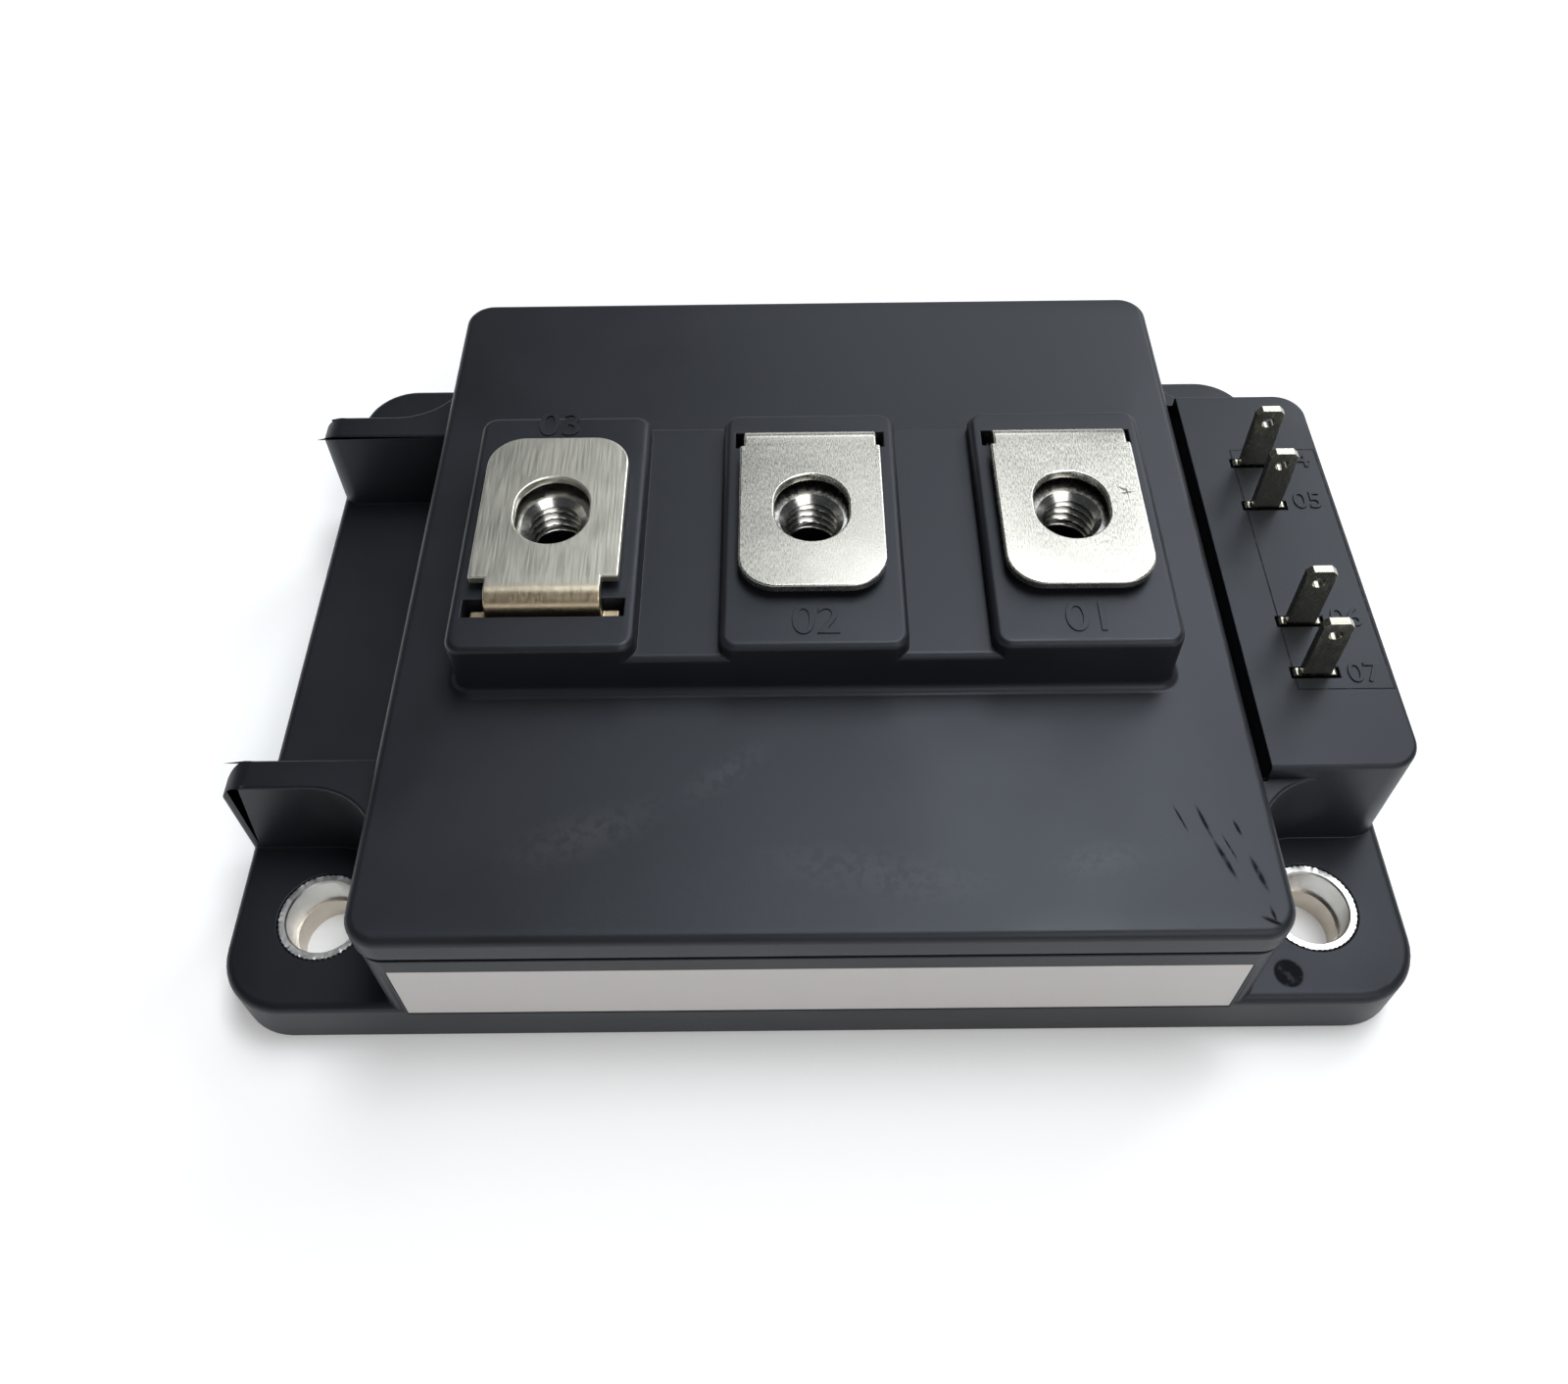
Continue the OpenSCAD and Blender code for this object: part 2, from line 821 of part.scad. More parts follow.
// A bond wire: an arc in the XZ plane from x0 to x1, each end cut off level with the
// surface that it is welded to, at z0 and z1
module bond_wire(x0, z0, x1, z1, y) {
    r = (x1 - x0) / 2 / sin(wire_angle);
    half = (x1 - x0) / 2 + cut;
    translate([(x0 + x1) / 2, y, 0])
        intersection() {
            translate([0, 0, z1 - r * cos(wire_angle)])
                rotate([90, 0, 0])
                    rotate_extrude(angle = 180)
                        translate([r, 0])
                            circle(d = wire_diameter, $fn = 24);
            union() {
                block_at(-half / 2, 0, z0, half, 2, r);
                block_at(half / 2, 0, z1, half, 2, r);
            }
        }
}

// Four emitter wires, three diode wires and one gate wire to each pair of dies
module bond_wires(side) {
    color([0.85, 0.85, 0.85])
        at_side(side)
            for (row = [0, 1]) {
                y = die_rows[row];
                for (k = [0:3])
                    bond_wire(emitter_foot_x, die_z, igbt_foot_x, die_top,
                        y + (k - 1.5) * wire_pitch - emitter_shift);
                for (k = [0:2])
                    bond_wire(igbt_stitch_x, die_top, diode_foot_x, die_top, y + (k - 1) * wire_pitch);
                bond_wire(gate_start + gate_track / 2, die_z, gate_pad_x, die_top, y + gate_pad_y);
            }
}

// Copper link from the right arm's emitter track to the left arm's collector
module phase_link() {
    reach = collector_start + 2;
    start = track_start + 1;
    end = start + 3;
    color([0.75, 0.5, 0.33])
        translate([0, -link_y, 0])
            along_x_link(-reach, end, start, -collector_start - 0.3);
}

// A flat bridge in the XZ plane: feet at both ends, risers and a top bar
module along_x_link(x0, x1, right_foot, left_foot) {
    t = 0.6;
    rotate([90, 0, 0])
        linear_extrude(link_width) {
            translate([x0, die_z])
                square([left_foot - x0, t]);
            translate([left_foot - t, die_z])
                square([t, link_top - die_z]);
            translate([left_foot - t, link_top - t])
                square([right_foot + t - left_foot + t, t]);
            translate([right_foot, die_z])
                square([t, link_top - die_z]);
            translate([right_foot, die_z])
                square([x1 - right_foot, t]);
        }
}

// Gate lead: up from its track, round a bend and across to the edge of its pin
module gate_lead(n) {
    side = n < 2 ? -1 : 1;
    foot_x = n == 1 || n == 2 ? side * (gate_start + gate_track / 2) : side * lead_foot_x;
    r = lead_bend_r;
    color([0.75, 0.1, 0.1])
        translate([foot_x, pin_y[n], 0]) {
            translate([0, 0, die_z])
                cylinder(d = lead_diameter, h = lead_height - r - die_z, $fn = 24);
            translate([r, 0, lead_height - r])
                rotate([90, 0, 180])
                    rotate_extrude(angle = 90)
                        translate([r, 0])
                            circle(d = lead_diameter, $fn = 24);
            translate([r, 0, lead_height])
                rotate([0, 90, 0])
                    cylinder(d = lead_diameter, h = pin_x - pin_width / 2 - foot_x - r, $fn = 24);
        }
}

// Soft potting over both arms, with everything that stands in it left out
module gel() {
    color([0.85, 0.9, 0.9, 0.4])
        difference() {
            intersection() {
                translate([-hollow_x, -hollow_y, plate_thickness])
                    cube([hollow_x + end_x, 2 * hollow_y, gel_height - plate_thickness]);
                union() {
                    block_at(0, 0, 0, 2 * hollow_x, 2 * hollow_y, gel_height);
                    translate([0, -(arm_y - ledge_wall), 0])
                        cube([end_x - ledge_wall, 2 * (arm_y - ledge_wall), gel_height]);
                }
            }
            for (side = ["left", "right"]) {
                solder(side);
                back_foil(side);
                ceramic(side);
                tracks(side);
                bond_wires(side);
                for (row = [0, 1]) {
                    igbt_die(side, row);
                    diode_die(side, row);
                }
            }
            phase_link();
            strap(-1);
            strap_middle();
            strap(1);
            for (n = [0:3])
                gate_lead(n);
        }
}

base_plate();
case();
lid();
label();
bush(-1, -1);  // bush_front_left
bush(1, -1);  // bush_front_right
bush(-1, 1);  // bush_rear_left
bush(1, 1);  // bush_rear_right
strap(-1);  // terminal_left
strap_middle();  // terminal_middle
strap(1);  // terminal_right
nut(-1);  // nut_left
nut(0);  // nut_middle
nut(1);  // nut_right
signal_pin(0);  // signal_pin_1
signal_pin(1);  // signal_pin_2
signal_pin(2);  // signal_pin_3
signal_pin(3);  // signal_pin_4
solder("left");  // solder_left
solder("right");  // solder_right
back_foil("left");  // back_foil_left
back_foil("right");  // back_foil_right
ceramic("left");  // ceramic_left
ceramic("right");  // ceramic_right
tracks("left");  // tracks_left
tracks("right");  // tracks_right
igbt_die("left", 0);  // igbt_die_1
igbt_die("left", 1);  // igbt_die_2
igbt_die("right", 0);  // igbt_die_3
igbt_die("right", 1);  // igbt_die_4
diode_die("left", 0);  // diode_die_1
diode_die("left", 1);  // diode_die_2
diode_die("right", 0);  // diode_die_3
diode_die("right", 1);  // diode_die_4
bond_wires("left");  // bond_wires_left
bond_wires("right");  // bond_wires_right
phase_link();
gate_lead(0);  // gate_lead_1
gate_lead(1);  // gate_lead_2
gate_lead(2);  // gate_lead_3
gate_lead(3);  // gate_lead_4
gel();
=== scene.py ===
import math
import bmesh
import bpy
import numpy as np
from mathutils import Matrix, Vector


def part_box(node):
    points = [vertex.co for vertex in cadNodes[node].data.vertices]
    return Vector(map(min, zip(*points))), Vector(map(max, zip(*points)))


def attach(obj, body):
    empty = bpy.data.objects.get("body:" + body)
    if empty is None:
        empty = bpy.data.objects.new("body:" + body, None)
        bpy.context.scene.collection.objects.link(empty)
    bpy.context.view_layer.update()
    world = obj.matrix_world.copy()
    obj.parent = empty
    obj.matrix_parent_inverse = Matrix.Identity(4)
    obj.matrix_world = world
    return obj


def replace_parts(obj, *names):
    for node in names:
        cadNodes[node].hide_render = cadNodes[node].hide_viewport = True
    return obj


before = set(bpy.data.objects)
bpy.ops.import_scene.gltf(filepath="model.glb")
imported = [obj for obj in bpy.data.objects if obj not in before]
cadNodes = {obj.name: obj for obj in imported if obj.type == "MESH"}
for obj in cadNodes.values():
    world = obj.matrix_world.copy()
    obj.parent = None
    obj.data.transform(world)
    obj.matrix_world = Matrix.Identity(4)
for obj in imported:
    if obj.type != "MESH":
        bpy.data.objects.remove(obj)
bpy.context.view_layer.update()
mm = 0.001


# Material helpers

def newMaterial(name, colour, metallic=0.0, roughness=0.5):
    material = bpy.data.materials.new(name)
    material.use_nodes = True
    shader = material.node_tree.nodes["Principled BSDF"]
    shader.inputs["Base Color"].default_value = (*colour, 1)
    shader.inputs["Metallic"].default_value = metallic
    shader.inputs["Roughness"].default_value = roughness
    material.diffuse_color = (*colour, 1)
    return material, material.node_tree, shader


def addNode(tree, kind, **settings):
    node = tree.nodes.new(kind)
    for key, value in settings.items():
        setattr(node, key, value)
    return node


def objectCoords(tree):
    return addNode(tree, "ShaderNodeTexCoord").outputs["Object"]


def noise(tree, coords, size, detail=2.0, stretch=(1, 1, 1)):
    # Noise whose blobs are about size metres across, drawn out by stretch along X, Y and Z
    mapping = addNode(tree, "ShaderNodeMapping")
    mapping.inputs["Scale"].default_value = [1 / (size * s) for s in stretch]
    texture = addNode(tree, "ShaderNodeTexNoise")
    texture.inputs["Scale"].default_value = 1.0
    texture.inputs["Detail"].default_value = detail
    tree.links.new(coords, mapping.inputs["Vector"])
    tree.links.new(mapping.outputs["Vector"], texture.inputs["Vector"])
    return texture.outputs["Fac"]


def remap(tree, value, low, high, outLow, outHigh):
    node = addNode(tree, "ShaderNodeMapRange")
    for key, number in zip(("From Min", "From Max", "To Min", "To Max"), (low, high, outLow, outHigh)):
        node.inputs[key].default_value = number
    tree.links.new(value, node.inputs["Value"])
    return node.outputs["Result"]


def combine(tree, operation, first, second):
    node = addNode(tree, "ShaderNodeMath", operation=operation)
    for socket, value in zip(node.inputs, (first, second)):
        if isinstance(value, (int, float)):
            socket.default_value = value
        else:
            tree.links.new(value, socket)
    return node.outputs["Value"]


def mixColours(tree, factor, first, second):
    node = addNode(tree, "ShaderNodeMix", data_type="RGBA")
    tree.links.new(factor, node.inputs[0])
    for socket, value in zip(node.inputs[6:8], (first, second)):
        if isinstance(value, tuple):
            socket.default_value = (*value, 1)
        else:
            tree.links.new(value, socket)
    return node.outputs[2]


def bump(tree, shader, height, strength, depth):
    node = addNode(tree, "ShaderNodeBump")
    node.inputs["Strength"].default_value = strength
    node.inputs["Distance"].default_value = depth
    tree.links.new(height, node.inputs["Height"])
    tree.links.new(node.outputs["Normal"], shader.inputs["Normal"])


def spot(tree, coords, place, halfSize, turn=0.0, edge=0.7):
    # 1 inside an ellipse with these half sizes about a place, falling to 0 at its rim
    mapping = addNode(tree, "ShaderNodeMapping", vector_type="TEXTURE")
    mapping.inputs["Location"].default_value = [v * mm for v in place]
    mapping.inputs["Rotation"].default_value = (0, 0, math.radians(turn))
    mapping.inputs["Scale"].default_value = [v * mm for v in halfSize]
    length = addNode(tree, "ShaderNodeVectorMath", operation="LENGTH")
    tree.links.new(coords, mapping.inputs["Vector"])
    tree.links.new(mapping.outputs["Vector"], length.inputs[0])
    return remap(tree, length.outputs["Value"], edge, 1.0, 1.0, 0.0)


def stroke(tree, coords, start, end, width, height=1.0):
    # A thin ellipse from start to end, given as points on the top face
    dx, dy = end[0] - start[0], end[1] - start[1]
    middle = ((start[0] + end[0]) / 2, (start[1] + end[1]) / 2, start[2])
    half = (math.hypot(dx, dy) / 2, width / 2, height)
    return spot(tree, coords, middle, half, math.degrees(math.atan2(dy, dx)), 0.4)


def outline(tree, coords, place, halfSize, width):
    # 1 on a thin rectangle's rim: the greater of each axis's distance past the half size, near 0
    mapping = addNode(tree, "ShaderNodeMapping")
    mapping.inputs["Location"].default_value = [-v * mm for v in place]
    split = addNode(tree, "ShaderNodeSeparateXYZ")
    tree.links.new(coords, mapping.inputs["Vector"])
    tree.links.new(mapping.outputs["Vector"], split.inputs["Vector"])
    past = [combine(tree, "SUBTRACT", combine(tree, "ABSOLUTE", split.outputs[axis], 0.0), size * mm)
            for axis, size in zip("XY", halfSize)]
    distance = combine(tree, "ABSOLUTE", combine(tree, "MAXIMUM", *past), 0.0)
    level = combine(tree, "LESS_THAN", combine(tree, "ABSOLUTE", split.outputs["Z"], 0.0), 0.3 * mm)
    return combine(tree, "MULTIPLY", remap(tree, distance, 0, width * mm, 1, 0), level)


def gather(tree, coords, marks):
    total = None
    for mark in marks:
        mask = mark(tree, coords)
        total = mask if total is None else combine(tree, "MAXIMUM", total, mask)
    return total


# Moulded plastic: a fine grain, slow cloudy patches and the marks of use
plastic = dict(
    colour=(0.0076, 0.0080, 0.0104), patchColour=(0.0100, 0.0104, 0.0132), scuffColour=(0.050, 0.051, 0.057),
    darkColour=(0.0015, 0.0015, 0.0020), specularTint=(0.84, 0.90, 1.0), roughness=0.41, patchRoughness=0.47,
    markRoughness=0.95, patchSize=14 * mm, breakSize=0.8 * mm, smudgeWeight=0.3, faintestMark=0.45,
    grainSize=0.35 * mm, grainDepth=0.02 * mm, grainStrength=0.35)


def plasticMaterial(name, shine, darkMarks, paleMarks):
    material, tree, shader = newMaterial(name, plastic["colour"], roughness=plastic["roughness"])
    shader.inputs["Specular IOR Level"].default_value = shine
    shader.inputs["Specular Tint"].default_value = (*plastic["specularTint"], 1)
    coords = objectCoords(tree)
    patches = remap(tree, noise(tree, coords, plastic["patchSize"], 4), 0.35, 0.65, 0, 1)
    colour = mixColours(tree, patches, plastic["colour"], plastic["patchColour"])
    rough = remap(tree, patches, 0, 1, plastic["roughness"], plastic["patchRoughness"])
    breakUp = remap(tree, noise(tree, coords, plastic["breakSize"], 3), 0.38, 0.56, 0, 1)
    smudge = gather(tree, coords, paleMarks)
    if smudge is not None:
        broken = combine(tree, "MULTIPLY", smudge, breakUp)
        amount = combine(tree, "MULTIPLY", broken, plastic["smudgeWeight"])
        colour = mixColours(tree, amount, colour, plastic["scuffColour"])
    scored = gather(tree, coords, darkMarks)
    if scored is not None:
        amount = combine(tree, "MULTIPLY", scored, remap(tree, breakUp, 0, 0.6, plastic["faintestMark"], 1))
        colour = mixColours(tree, amount, colour, plastic["darkColour"])
        duller = combine(tree, "SUBTRACT", plastic["markRoughness"], rough)
        rough = combine(tree, "ADD", rough, combine(tree, "MULTIPLY", amount, duller))
    tree.links.new(colour, shader.inputs["Base Color"])
    tree.links.new(rough, shader.inputs["Roughness"])
    grain = noise(tree, coords, plastic["grainSize"], 1)
    bump(tree, shader, grain, plastic["grainStrength"], plastic["grainDepth"])
    return material


padRise = 6.8
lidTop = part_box("lid")[1].z / mm - padRise
scratches = [((33.2, -27.6), (34.2, -31.4), 0.42), ((34.1, -31.0), (35.5, -35.2), 0.55),
             ((36.2, -29.2), (36.7, -31.0), 0.40), ((36.9, -32.6), (37.9, -36.4), 0.60),
             ((31.2, -27.6), (32.2, -30.6), 0.26), ((34.9, -30.5), (35.9, -33.4), 0.22),
             ((36.6, -38.2), (38.6, -39.2), 0.50), ((37.6, -37.2), (37.9, -38.8), 0.40)]
lidDark = [lambda t, c, s=s: stroke(t, c, (*s[0], lidTop), (*s[1], lidTop), s[2]) for s in scratches]
scuffs = [((-20, -30), (9, 3), 20), ((5, -34), (12, 3), -8), ((-8, -24), (6, 2), 35), ((24, -33), (5, 2), 10)]
lidPale = [lambda t, c, s=s: spot(t, c, (*s[0], lidTop), (*s[1], 1.0), s[2], 0.1) for s in scuffs]
lidPlastic = plasticMaterial("lidPlastic", 0.40, lidDark, lidPale)
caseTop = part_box("case")[1].z / mm
caseDark = [lambda t, c: spot(t, c, (42.9, -37.4, 6.5), (1.4, 1.4, 1.0), 0, 0.85),
            lambda t, c: outline(t, c, (50.0, 0.0, caseTop), (4.5, 15.4), 0.11)]
casePlastic = plasticMaterial("casePlastic", 0.33, caseDark, [])


# Metals and the small parts inside
metals = dict(
    nickel=dict(colour=(0.56, 0.545, 0.495), roughness=0.25, grain=(0.25, 1, 1)),
    warmNickel=dict(colour=(0.72, 0.70, 0.61), roughness=0.33, grain=(0.3, 9, 1)),
    nutSteel=dict(colour=(0.66, 0.655, 0.63), roughness=0.20, grain=(1, 1, 0.2)),
    bushSteel=dict(colour=(0.80, 0.80, 0.78), roughness=0.34, grain=(1, 1, 1)),
    pinTin=dict(colour=(0.40, 0.385, 0.32), roughness=0.24, grain=(1, 1, 3)),
    basePlate=dict(colour=(0.66, 0.60, 0.52), roughness=0.38, grain=(1, 1, 1)),
    solder=dict(colour=(0.50, 0.50, 0.52), roughness=0.45, grain=(1, 1, 1)),
    copper=dict(colour=(0.72, 0.40, 0.26), roughness=0.35, grain=(1, 1, 1)),
    silicon=dict(colour=(0.28, 0.29, 0.34), roughness=0.22, grain=(1, 1, 1)),
    bondWire=dict(colour=(0.80, 0.80, 0.80), roughness=0.30, grain=(1, 1, 1)))


metalFinish = dict(grainSize=0.5 * mm, grainDepth=0.01 * mm, grainStrength=0.25, cloudSize=5 * mm, shade=0.86,
                   smoother=0.05, rougher=0.07)


def metalMaterial(name, settings):
    finish = metalFinish
    material, tree, shader = newMaterial(name, settings["colour"], 1.0, settings["roughness"])
    coords = objectCoords(tree)
    grain = noise(tree, coords, finish["grainSize"], 2, settings["grain"])
    cloud = noise(tree, coords, finish["cloudSize"], 3)
    rough = remap(tree, grain, 0.3, 0.7, settings["roughness"] - finish["smoother"],
                  settings["roughness"] + finish["rougher"])
    tree.links.new(rough, shader.inputs["Roughness"])
    shade = tuple(v * finish["shade"] for v in settings["colour"])
    colour = mixColours(tree, remap(tree, cloud, 0.35, 0.65, 0, 1), settings["colour"], shade)
    tree.links.new(colour, shader.inputs["Base Color"])
    bump(tree, shader, grain, finish["grainStrength"], finish["grainDepth"])
    return material


metal = {name: metalMaterial(name, settings) for name, settings in metals.items()}


def recolour(name):
    # The tree and shader of a metal, and the colour that it has so far
    tree = metal[name].node_tree
    shader = tree.nodes["Principled BSDF"]
    return tree, shader, shader.inputs["Base Color"].links[0].from_socket


# The left strap is brushed fore and aft, and its plating is worn to brass at the bend
bendTint = dict(colour=(0.60, 0.46, 0.27), fromY=-8.6, toY=-10.2, weight=0.75)
warmTree, warmShader, plainColour = recolour("warmNickel")
splitter = addNode(warmTree, "ShaderNodeSeparateXYZ")
warmTree.links.new(objectCoords(warmTree), splitter.inputs["Vector"])
worn = remap(warmTree, splitter.outputs["Y"], bendTint["fromY"] * mm, bendTint["toY"] * mm, 0,
             bendTint["weight"])
bentColour = mixColours(warmTree, worn, plainColour, bendTint["colour"])
warmTree.links.new(bentColour, warmShader.inputs["Base Color"])

# The right strap has a small scratch beside its hole
nickColour = (0.12, 0.11, 0.10)
nickTree, nickShader, plainColour = recolour("nickel")
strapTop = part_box("terminal_right")[1].z / mm
nicks = [((29.5, 2.3), (30.9, 1.3), 0.30), ((29.6, 1.2), (31.4, 1.5), 0.24), ((30.4, 2.2), (30.6, 0.7), 0.20)]
nickMarks = [lambda t, c, n=n: stroke(t, c, (*n[0], strapTop), (*n[1], strapTop), n[2]) for n in nicks]
nickMask = gather(nickTree, objectCoords(nickTree), nickMarks)
nickTree.links.new(mixColours(nickTree, nickMask, plainColour, nickColour), nickShader.inputs["Base Color"])

# The nuts' threads get a painted shade: the colour darkens with the depth of the thread groove
threadShadeColour = (0.06, 0.055, 0.05)
nutTree, nutShader, plainColour = recolour("nutSteel")
grooveDepth = addNode(nutTree, "ShaderNodeAttribute", attribute_name="groove").outputs["Fac"]
# painted shade: the deeper the thread groove, the darker the nut's colour
threadShade = remap(nutTree, grooveDepth, 0.15, 0.75, 0, 0.9)
nutTree.links.new(mixColours(nutTree, threadShade, plainColour, threadShadeColour), nutShader.inputs["Base Color"])

otherColours = dict(labelFilm=((0.57, 0.545, 0.525), 0.55), ceramic=((0.85, 0.85, 0.82), 0.6),
                    leadInsulation=((0.55, 0.06, 0.05), 0.35))
plain = {}
for name, (colour, roughness) in otherColours.items():
    plain[name], tree, shader = newMaterial(name, colour, 0.0, roughness)
    speckle = noise(tree, objectCoords(tree), 1.5 * mm, 3)
    shade = tuple(v * 0.965 for v in colour)
    tree.links.new(mixColours(tree, speckle, colour, shade), shader.inputs["Base Color"])
gel, tree, gelShader = newMaterial("gel", (0.80, 0.84, 0.84), 0.0, 0.12)
gelShader.inputs["Alpha"].default_value = 0.35
print("materials made")


# What each CAD node is made of
nodeMaterials = dict(
    case=casePlastic, lid=lidPlastic, label=plain["labelFilm"], base_plate=metal["basePlate"], gel=gel,
    terminal_left=metal["warmNickel"], terminal_middle=metal["nickel"], terminal_right=metal["nickel"],
    phase_link=metal["copper"])
familyMaterials = dict(
    bush=metal["bushSteel"], nut=metal["nutSteel"], signal=metal["pinTin"], solder=metal["solder"],
    back=metal["copper"], ceramic=plain["ceramic"], tracks=metal["copper"], igbt=metal["silicon"],
    diode=metal["silicon"], bond=metal["bondWire"], gate=plain["leadInsulation"])


def materialOf(node):
    return nodeMaterials.get(node) or familyMaterials[node.split("_")[0]]


for nodeName, cadNode in cadNodes.items():
    for slot in cadNode.material_slots:
        slot.link = "OBJECT"
        slot.material = materialOf(nodeName)
print("materials on", len(cadNodes), "nodes")


# Mesh helpers

def addPiece(name, mesh, node):
    piece = bpy.data.objects.new(name, mesh)
    bpy.context.scene.collection.objects.link(piece)
    mesh.materials.clear()
    mesh.materials.append(materialOf(node))
    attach(piece, "root")
    return piece


def ringMesh(name, points):
    # Points on a grid, rows round the profile and columns round the axis, both closed
    rows, columns = points.shape[:2]
    index = np.arange(rows * columns).reshape(rows, columns)
    right = np.roll(index, -1, axis=1)
    below = np.roll(index, -1, axis=0)
    corner = np.roll(below, -1, axis=1)
    faces = np.stack([index, right, corner, below], axis=-1).reshape(-1, 4)
    mesh = bpy.data.meshes.new(name)
    mesh.from_pydata(points.reshape(-1, 3).tolist(), [], faces.tolist())
    mesh.validate()
    shaped = bmesh.new()
    shaped.from_mesh(mesh)
    bmesh.ops.recalc_face_normals(shaped, faces=shaped.faces)
    shaped.to_mesh(mesh)
    shaped.free()
    mesh.shade_smooth()
    mesh.set_sharp_from_angle(angle=math.radians(32))
    return mesh


def boxOf(node):
    low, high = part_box(node)
    return np.array(low), np.array(high)


joining = dict(distance=1e-6, flatAngle=0.5)


def joinedCopy(node):
    # A copy of the node's mesh, open for editing, with its corners joined and its flat faces whole
    mesh = cadNodes[node].data.copy()
    shaped = bmesh.new()
    shaped.from_mesh(mesh)
    bmesh.ops.remove_doubles(shaped, verts=shaped.verts, dist=joining["distance"])
    bmesh.ops.dissolve_limit(shaped, angle_limit=math.radians(joining["flatAngle"]), verts=shaped.verts,
                             edges=shaped.edges)
    return mesh, shaped


def closeCopy(mesh, shaped, sharpAngle):
    shaped.to_mesh(mesh)
    shaped.free()
    if mesh.has_custom_normals:
        mesh.attributes.remove(mesh.attributes["custom_normal"])
    mesh.shade_smooth()
    mesh.set_sharp_from_angle(angle=math.radians(sharpAngle))


def softEdges(piece, width, segments):
    rounding = piece.modifiers.new("softEdges", "BEVEL")
    rounding.width = width
    rounding.segments = segments
    rounding.harden_normals = True
    return rounding


def mergedCopy(node, name, bevel, segments=2, angle=38):
    mesh, shaped = joinedCopy(node)
    closeCopy(mesh, shaped, angle)
    piece = addPiece(name, mesh, node)
    rounding = softEdges(piece, bevel, segments)
    rounding.limit_method = "ANGLE"
    rounding.angle_limit = math.radians(angle)
    rounding.use_clamp_overlap = True
    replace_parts(piece, node)


# Straps and signal pins keep their exact shape and get softened edges
edgeRadius = dict(strap=0.22 * mm, pin=0.10 * mm)
for side in ("left", "middle", "right"):
    mergedCopy(f"terminal_{side}", f"strap_{side}", edgeRadius["strap"], 3)
for number in range(1, 5):
    mergedCopy(f"signal_pin_{number}", f"pin_{number}", edgeRadius["pin"])
print("straps and pins softened")


# Case and lid: every sharp edge is softened a little, the wings' and webs' top edges more
ledgeAboveWings = 1.8 * mm
softening = dict(width=0.32 * mm, plainShare=0.4, wingTop=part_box("case")[1].z - ledgeAboveWings, angle=40,
                 sameHeight=0.05 * mm)


def softenedShell(node):
    s = softening
    mesh, shaped = joinedCopy(node)
    weight = shaped.edges.layers.float.new("bevel_weight_edge")
    for edge in shaped.edges:
        if len(edge.link_faces) == 2 and edge.calc_face_angle(0) > math.radians(s["angle"]):
            onTop = all(abs(v.co.z - s["wingTop"]) < s["sameHeight"] for v in edge.verts)
            edge[weight] = 1.0 if onTop and node == "case" else s["plainShare"]
    closeCopy(mesh, shaped, s["angle"])
    piece = addPiece(f"soft_{node}", mesh, node)
    rounding = softEdges(piece, s["width"], 2)
    rounding.limit_method = "WEIGHT"
    rounding.use_clamp_overlap = False
    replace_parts(piece, node)


softenedShell("case")
softenedShell("lid")
print("case and lid softened")


# Captive nuts with their threads
nutShape = dict(flats=10.0, bore=5.0, threadOutside=6.0, pitch=1.0, countersink=6.3, faceRing=9.8,
                faceDrop=0.25, threadFade=0.25, flankStretch=1.25, crestFlat=0.1, columns=120, boreRows=56)


def nutMesh(name, centre, low, high):
    # The profile runs up the outside, over the top, down through the bore and back.
    # Outside, the radius is the hexagon's: half the flats over the cosine of the angle from the
    # middle of the flat. In the bore it swings by the thread depth as a triangle wave of
    # height over pitch less turns, so that the crest climbs one pitch in each turn.
    s = nutShape
    angles = np.linspace(0, 2 * np.pi, s["columns"], endpoint=False)
    hexagon = s["flats"] / 2 / np.cos(np.mod(angles, np.pi / 3) - np.pi / 6)
    faceRing = np.minimum(hexagon, s["faceRing"] / 2)
    bottom, top = low / mm, high / mm
    sink = (s["countersink"] - s["bore"]) / 2
    threadDepth = (s["threadOutside"] - s["bore"]) / 2
    boreHeights = np.linspace(top - sink, bottom + sink, s["boreRows"])
    radii = [hexagon, hexagon, faceRing, np.full_like(angles, s["countersink"] / 2)]
    heights = [bottom, top - s["faceDrop"], top, top]
    for height in boreHeights:
        fade = np.clip(min(top - sink - height, height - bottom - sink) / s["threadFade"], 0, 1)
        wave = np.abs(2 * np.mod(height / s["pitch"] - angles / (2 * np.pi), 1) - 1)
        groove = np.clip(wave * s["flankStretch"] - s["crestFlat"], 0, 1)
        radii.append(s["bore"] / 2 + threadDepth * fade * groove)
        heights.append(height)
    radii.append(np.full_like(angles, s["countersink"] / 2))
    heights.append(bottom)
    radius = np.array(radii)
    height = np.array(heights)[:, None] + 0 * radius
    points = np.stack([radius * np.cos(angles), radius * np.sin(angles), height], axis=-1) * mm
    points[..., 0] += centre[0]
    points[..., 1] += centre[1]
    mesh = ringMesh(name, points)
    # Painted shade lies in the thread: the groove value is the radius past the crest over the thread depth
    inBore = (np.arange(len(radius)) >= 4)[:, None] & (np.arange(len(radius)) < len(radius) - 2)[:, None]
    groove = np.where(inBore, np.clip((radius - s["bore"] / 2) / threadDepth, 0, 1), 0.0)
    threadShade = mesh.attributes.new("groove", "FLOAT", "POINT")
    threadShade.data.foreach_set("value", groove.ravel().astype(np.float32))
    return mesh


for side in ("left", "middle", "right"):
    low, high = boxOf(f"nut_{side}")
    mesh = nutMesh(f"threadedNut_{side}", (low + high) / 2, low[2], high[2])
    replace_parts(addPiece(f"threadedNut_{side}", mesh, f"nut_{side}"), f"nut_{side}")
print("nuts threaded")


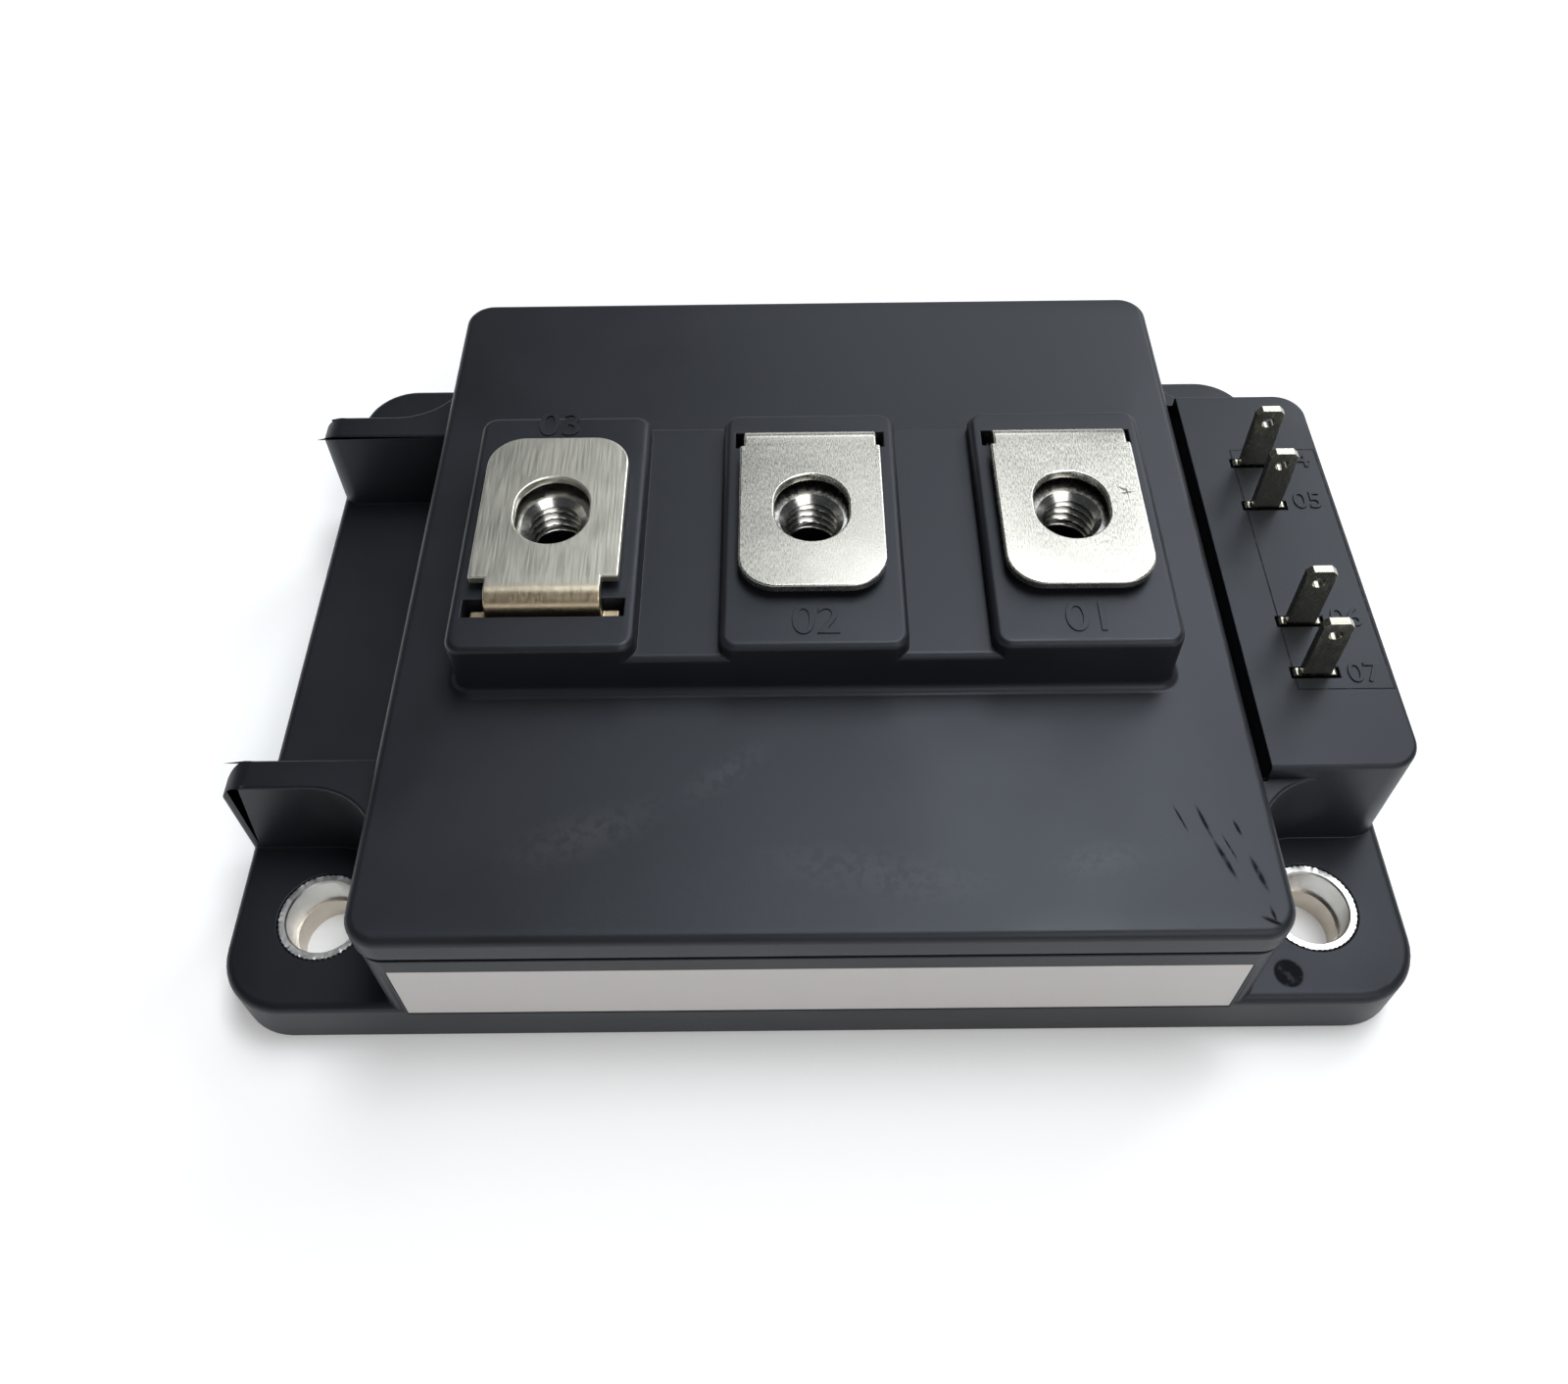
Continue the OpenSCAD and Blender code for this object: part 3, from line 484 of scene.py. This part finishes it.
# Bushes with a knurled outside and a rough sheared rim
bushShape = dict(outside=8.7, bore=7.0, teeth=54, toothDepth=0.16, rimDrop=0.18, rimRough=0.05, seed=7,
                 edgeBreak=0.13, faceHalf=0.12, boreBreak=0.14, boreDrop=0.22, faceDrops=(0.02, 0.03))


def bushMesh(name, centre, low, high):
    # The outside radius swings by the tooth depth as the absolute sine of half the tooth angle;
    # the rim's height has a small random step at each tooth
    s = bushShape
    random = np.random.default_rng(s["seed"])
    columns = s["teeth"] * 6
    angles = np.linspace(0, 2 * np.pi, columns, endpoint=False)
    tooth = s["toothDepth"] * (1 - np.abs(np.sin(angles * s["teeth"] / 2)))
    ragged = np.repeat(random.uniform(0, s["rimRough"], s["teeth"] * 2), 3)
    bottom, top = low / mm, high / mm
    outer, inner = s["outside"] / 2, s["bore"] / 2
    middle = (outer + inner) / 2
    flat = np.zeros(columns)
    outerDrop, innerDrop = s["faceDrops"]
    radius = np.array([outer - tooth, outer - tooth, outer - s["edgeBreak"] - tooth / 2,
                       flat + middle + s["faceHalf"], flat + inner + s["boreBreak"], flat + inner,
                       flat + inner, flat + inner])
    height = np.array([flat + bottom, flat + top - s["rimDrop"] - ragged, flat + top - ragged,
                       flat + top - outerDrop, flat + top - innerDrop, flat + top - s["boreDrop"],
                       flat + (top + bottom) / 2, flat + bottom])
    points = np.stack([radius * np.cos(angles), radius * np.sin(angles), height], axis=-1) * mm
    points[..., 0] += centre[0]
    points[..., 1] += centre[1]
    return ringMesh(name, points)


for corner in ("front_left", "front_right", "rear_left", "rear_right"):
    low, high = boxOf(f"bush_{corner}")
    mesh = bushMesh(f"knurledBush_{corner}", (low + high) / 2, low[2], high[2])
    piece = addPiece(f"knurledBush_{corner}", mesh, f"bush_{corner}")
    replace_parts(piece, f"bush_{corner}")
print("bushes knurled")


# Moulded numbers beside the terminals and the signal pins
numbers = dict(proud=0.11, edgeRound=0.03, letterShare=1.35, padSize=3.4, ledgeSize=2.3,
               pads=(("03", -25.6, 12.9), ("02", 0.2, -12.4), ("01", 25.2, -12.4)),
               ledge=(("04", 52.1, 13.8), ("05", 52.1, 8.0), ("06", 52.1, -7.2), ("07", 52.1, -13.7)))


def mouldedNumber(name, text, x, y, z, size, node):
    curve = bpy.data.curves.new(name, "FONT")
    curve.body = text
    curve.size = size * numbers["letterShare"] * mm
    curve.align_x = "CENTER"
    curve.align_y = "CENTER"
    curve.extrude = numbers["proud"] * mm
    curve.bevel_depth = numbers["edgeRound"] * mm
    flat = bpy.data.objects.new(name + "Curve", curve)
    bpy.context.scene.collection.objects.link(flat)
    mesh = bpy.data.meshes.new_from_object(flat.evaluated_get(bpy.context.evaluated_depsgraph_get()))
    bpy.data.objects.remove(flat)
    mesh.transform(Matrix.Translation((x * mm, y * mm, z)))
    mesh.name = name
    addPiece(name, mesh, node)


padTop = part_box("lid")[1].z
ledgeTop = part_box("case")[1].z
for text, x, y in numbers["pads"]:
    mouldedNumber(f"padNumber_{text}", text, x, y, padTop, numbers["padSize"], "lid")
for text, x, y in numbers["ledge"]:
    mouldedNumber(f"ledgeNumber_{text}", text, x, y, ledgeTop, numbers["ledgeSize"], "case")
print("numbers moulded")


# Floor, light and camera
stage = dict(floorSize=3.0, floorColour=(0.86, 0.86, 0.86), floorGlow=0.19, skyColour=(0.92, 0.96, 1.04),
             skyStrength=0.05, horizonStrength=1.0, horizonTop=0.05, skyBottom=0.22)
lamps = dict(
    high=dict(turn=20, rise=63, distance=1.6, size=0.60, power=5.5, colour=(0.93, 0.97, 1.0)),
    low=dict(turn=40, rise=36, distance=1.6, size=0.60, power=7.5, colour=(0.93, 0.97, 1.0)),
    back=dict(turn=6, rise=34, distance=1.6, size=0.40, power=1.5, colour=(0.93, 0.97, 1.0)),
    top=dict(turn=60, rise=76, distance=1.6, size=0.60, power=12.8, colour=(0.95, 0.98, 1.0)),
    front=dict(turn=150, rise=40, distance=1.6, size=1.0, power=9.5, colour=(1.0, 0.99, 0.98)))
view = dict(place=(-0.0020, -0.0880, 0.1300), down=50.1, turn=-0.45, roll=-0.97, lens=32.0, shiftY=-0.1)

half = stage["floorSize"] / 2
floorMesh = bpy.data.meshes.new("floor")
floorCorners = [(-half, -half, 0), (half, -half, 0), (half, half, 0), (-half, half, 0)]
floorMesh.from_pydata(floorCorners, [], [(0, 1, 2, 3)])
floor = bpy.data.objects.new("floor", floorMesh)
bpy.context.scene.collection.objects.link(floor)
floorMaterial, tree, shader = newMaterial("floorPaper", stage["floorColour"], 0.0, 0.9)
rays = addNode(tree, "ShaderNodeLightPath")
seen = combine(tree, "MAXIMUM", rays.outputs["Is Camera Ray"], rays.outputs["Is Glossy Ray"])
seen = combine(tree, "MAXIMUM", seen, rays.outputs["Is Transmission Ray"])
glow = combine(tree, "MULTIPLY", seen, stage["floorGlow"])
shader.inputs["Emission Color"].default_value = (1, 1, 1, 1)
tree.links.new(glow, shader.inputs["Emission Strength"])
floorMesh.materials.append(floorMaterial)

# The sky is white round the horizon, like the paper, and dimmer overhead
world = bpy.data.worlds.new("studio")
world.use_nodes = True
bpy.context.scene.world = world
tree = world.node_tree
splitter = addNode(tree, "ShaderNodeSeparateXYZ")
tree.links.new(addNode(tree, "ShaderNodeTexCoord").outputs["Generated"], splitter.inputs["Vector"])
rise = remap(tree, splitter.outputs["Z"], stage["horizonTop"], stage["skyBottom"], 0, 1)
skyColour = tuple(v * stage["skyStrength"] for v in stage["skyColour"])
horizonColour = (stage["horizonStrength"],) * 3
tree.links.new(mixColours(tree, rise, horizonColour, skyColour), tree.nodes["Background"].inputs["Color"])

# Each lamp faces the object from a turn round it, counted from behind to the right, and a rise
for name, settings in lamps.items():
    data = bpy.data.lights.new(name, "AREA")
    data.size = settings["size"]
    data.energy = settings["power"]
    data.color = settings["colour"]
    lamp = bpy.data.objects.new(name, data)
    turn, rise = math.radians(settings["turn"]), math.radians(settings["rise"])
    towards = Vector((math.sin(turn) * math.cos(rise), math.cos(turn) * math.cos(rise), math.sin(rise)))
    lamp.location = towards * settings["distance"]
    lamp.rotation_euler = (-towards).to_track_quat("-Z", "Y").to_euler()
    bpy.context.scene.collection.objects.link(lamp)

cameraData = bpy.data.cameras.new("camera")
cameraData.lens = view["lens"]
cameraData.shift_y = view["shiftY"]
cameraData.clip_start = 0.001
camera = bpy.data.objects.new("camera", cameraData)
camera.matrix_world = (Matrix.Translation(view["place"])
                       @ Matrix.Rotation(math.radians(-view["turn"]), 4, "Z")
                       @ Matrix.Rotation(math.radians(90 - view["down"]), 4, "X")
                       @ Matrix.Rotation(math.radians(view["roll"]), 4, "Z"))
bpy.context.scene.collection.objects.link(camera)
bpy.context.scene.camera = camera
bpy.context.scene.view_settings.view_transform = "Standard"
print("stage set")
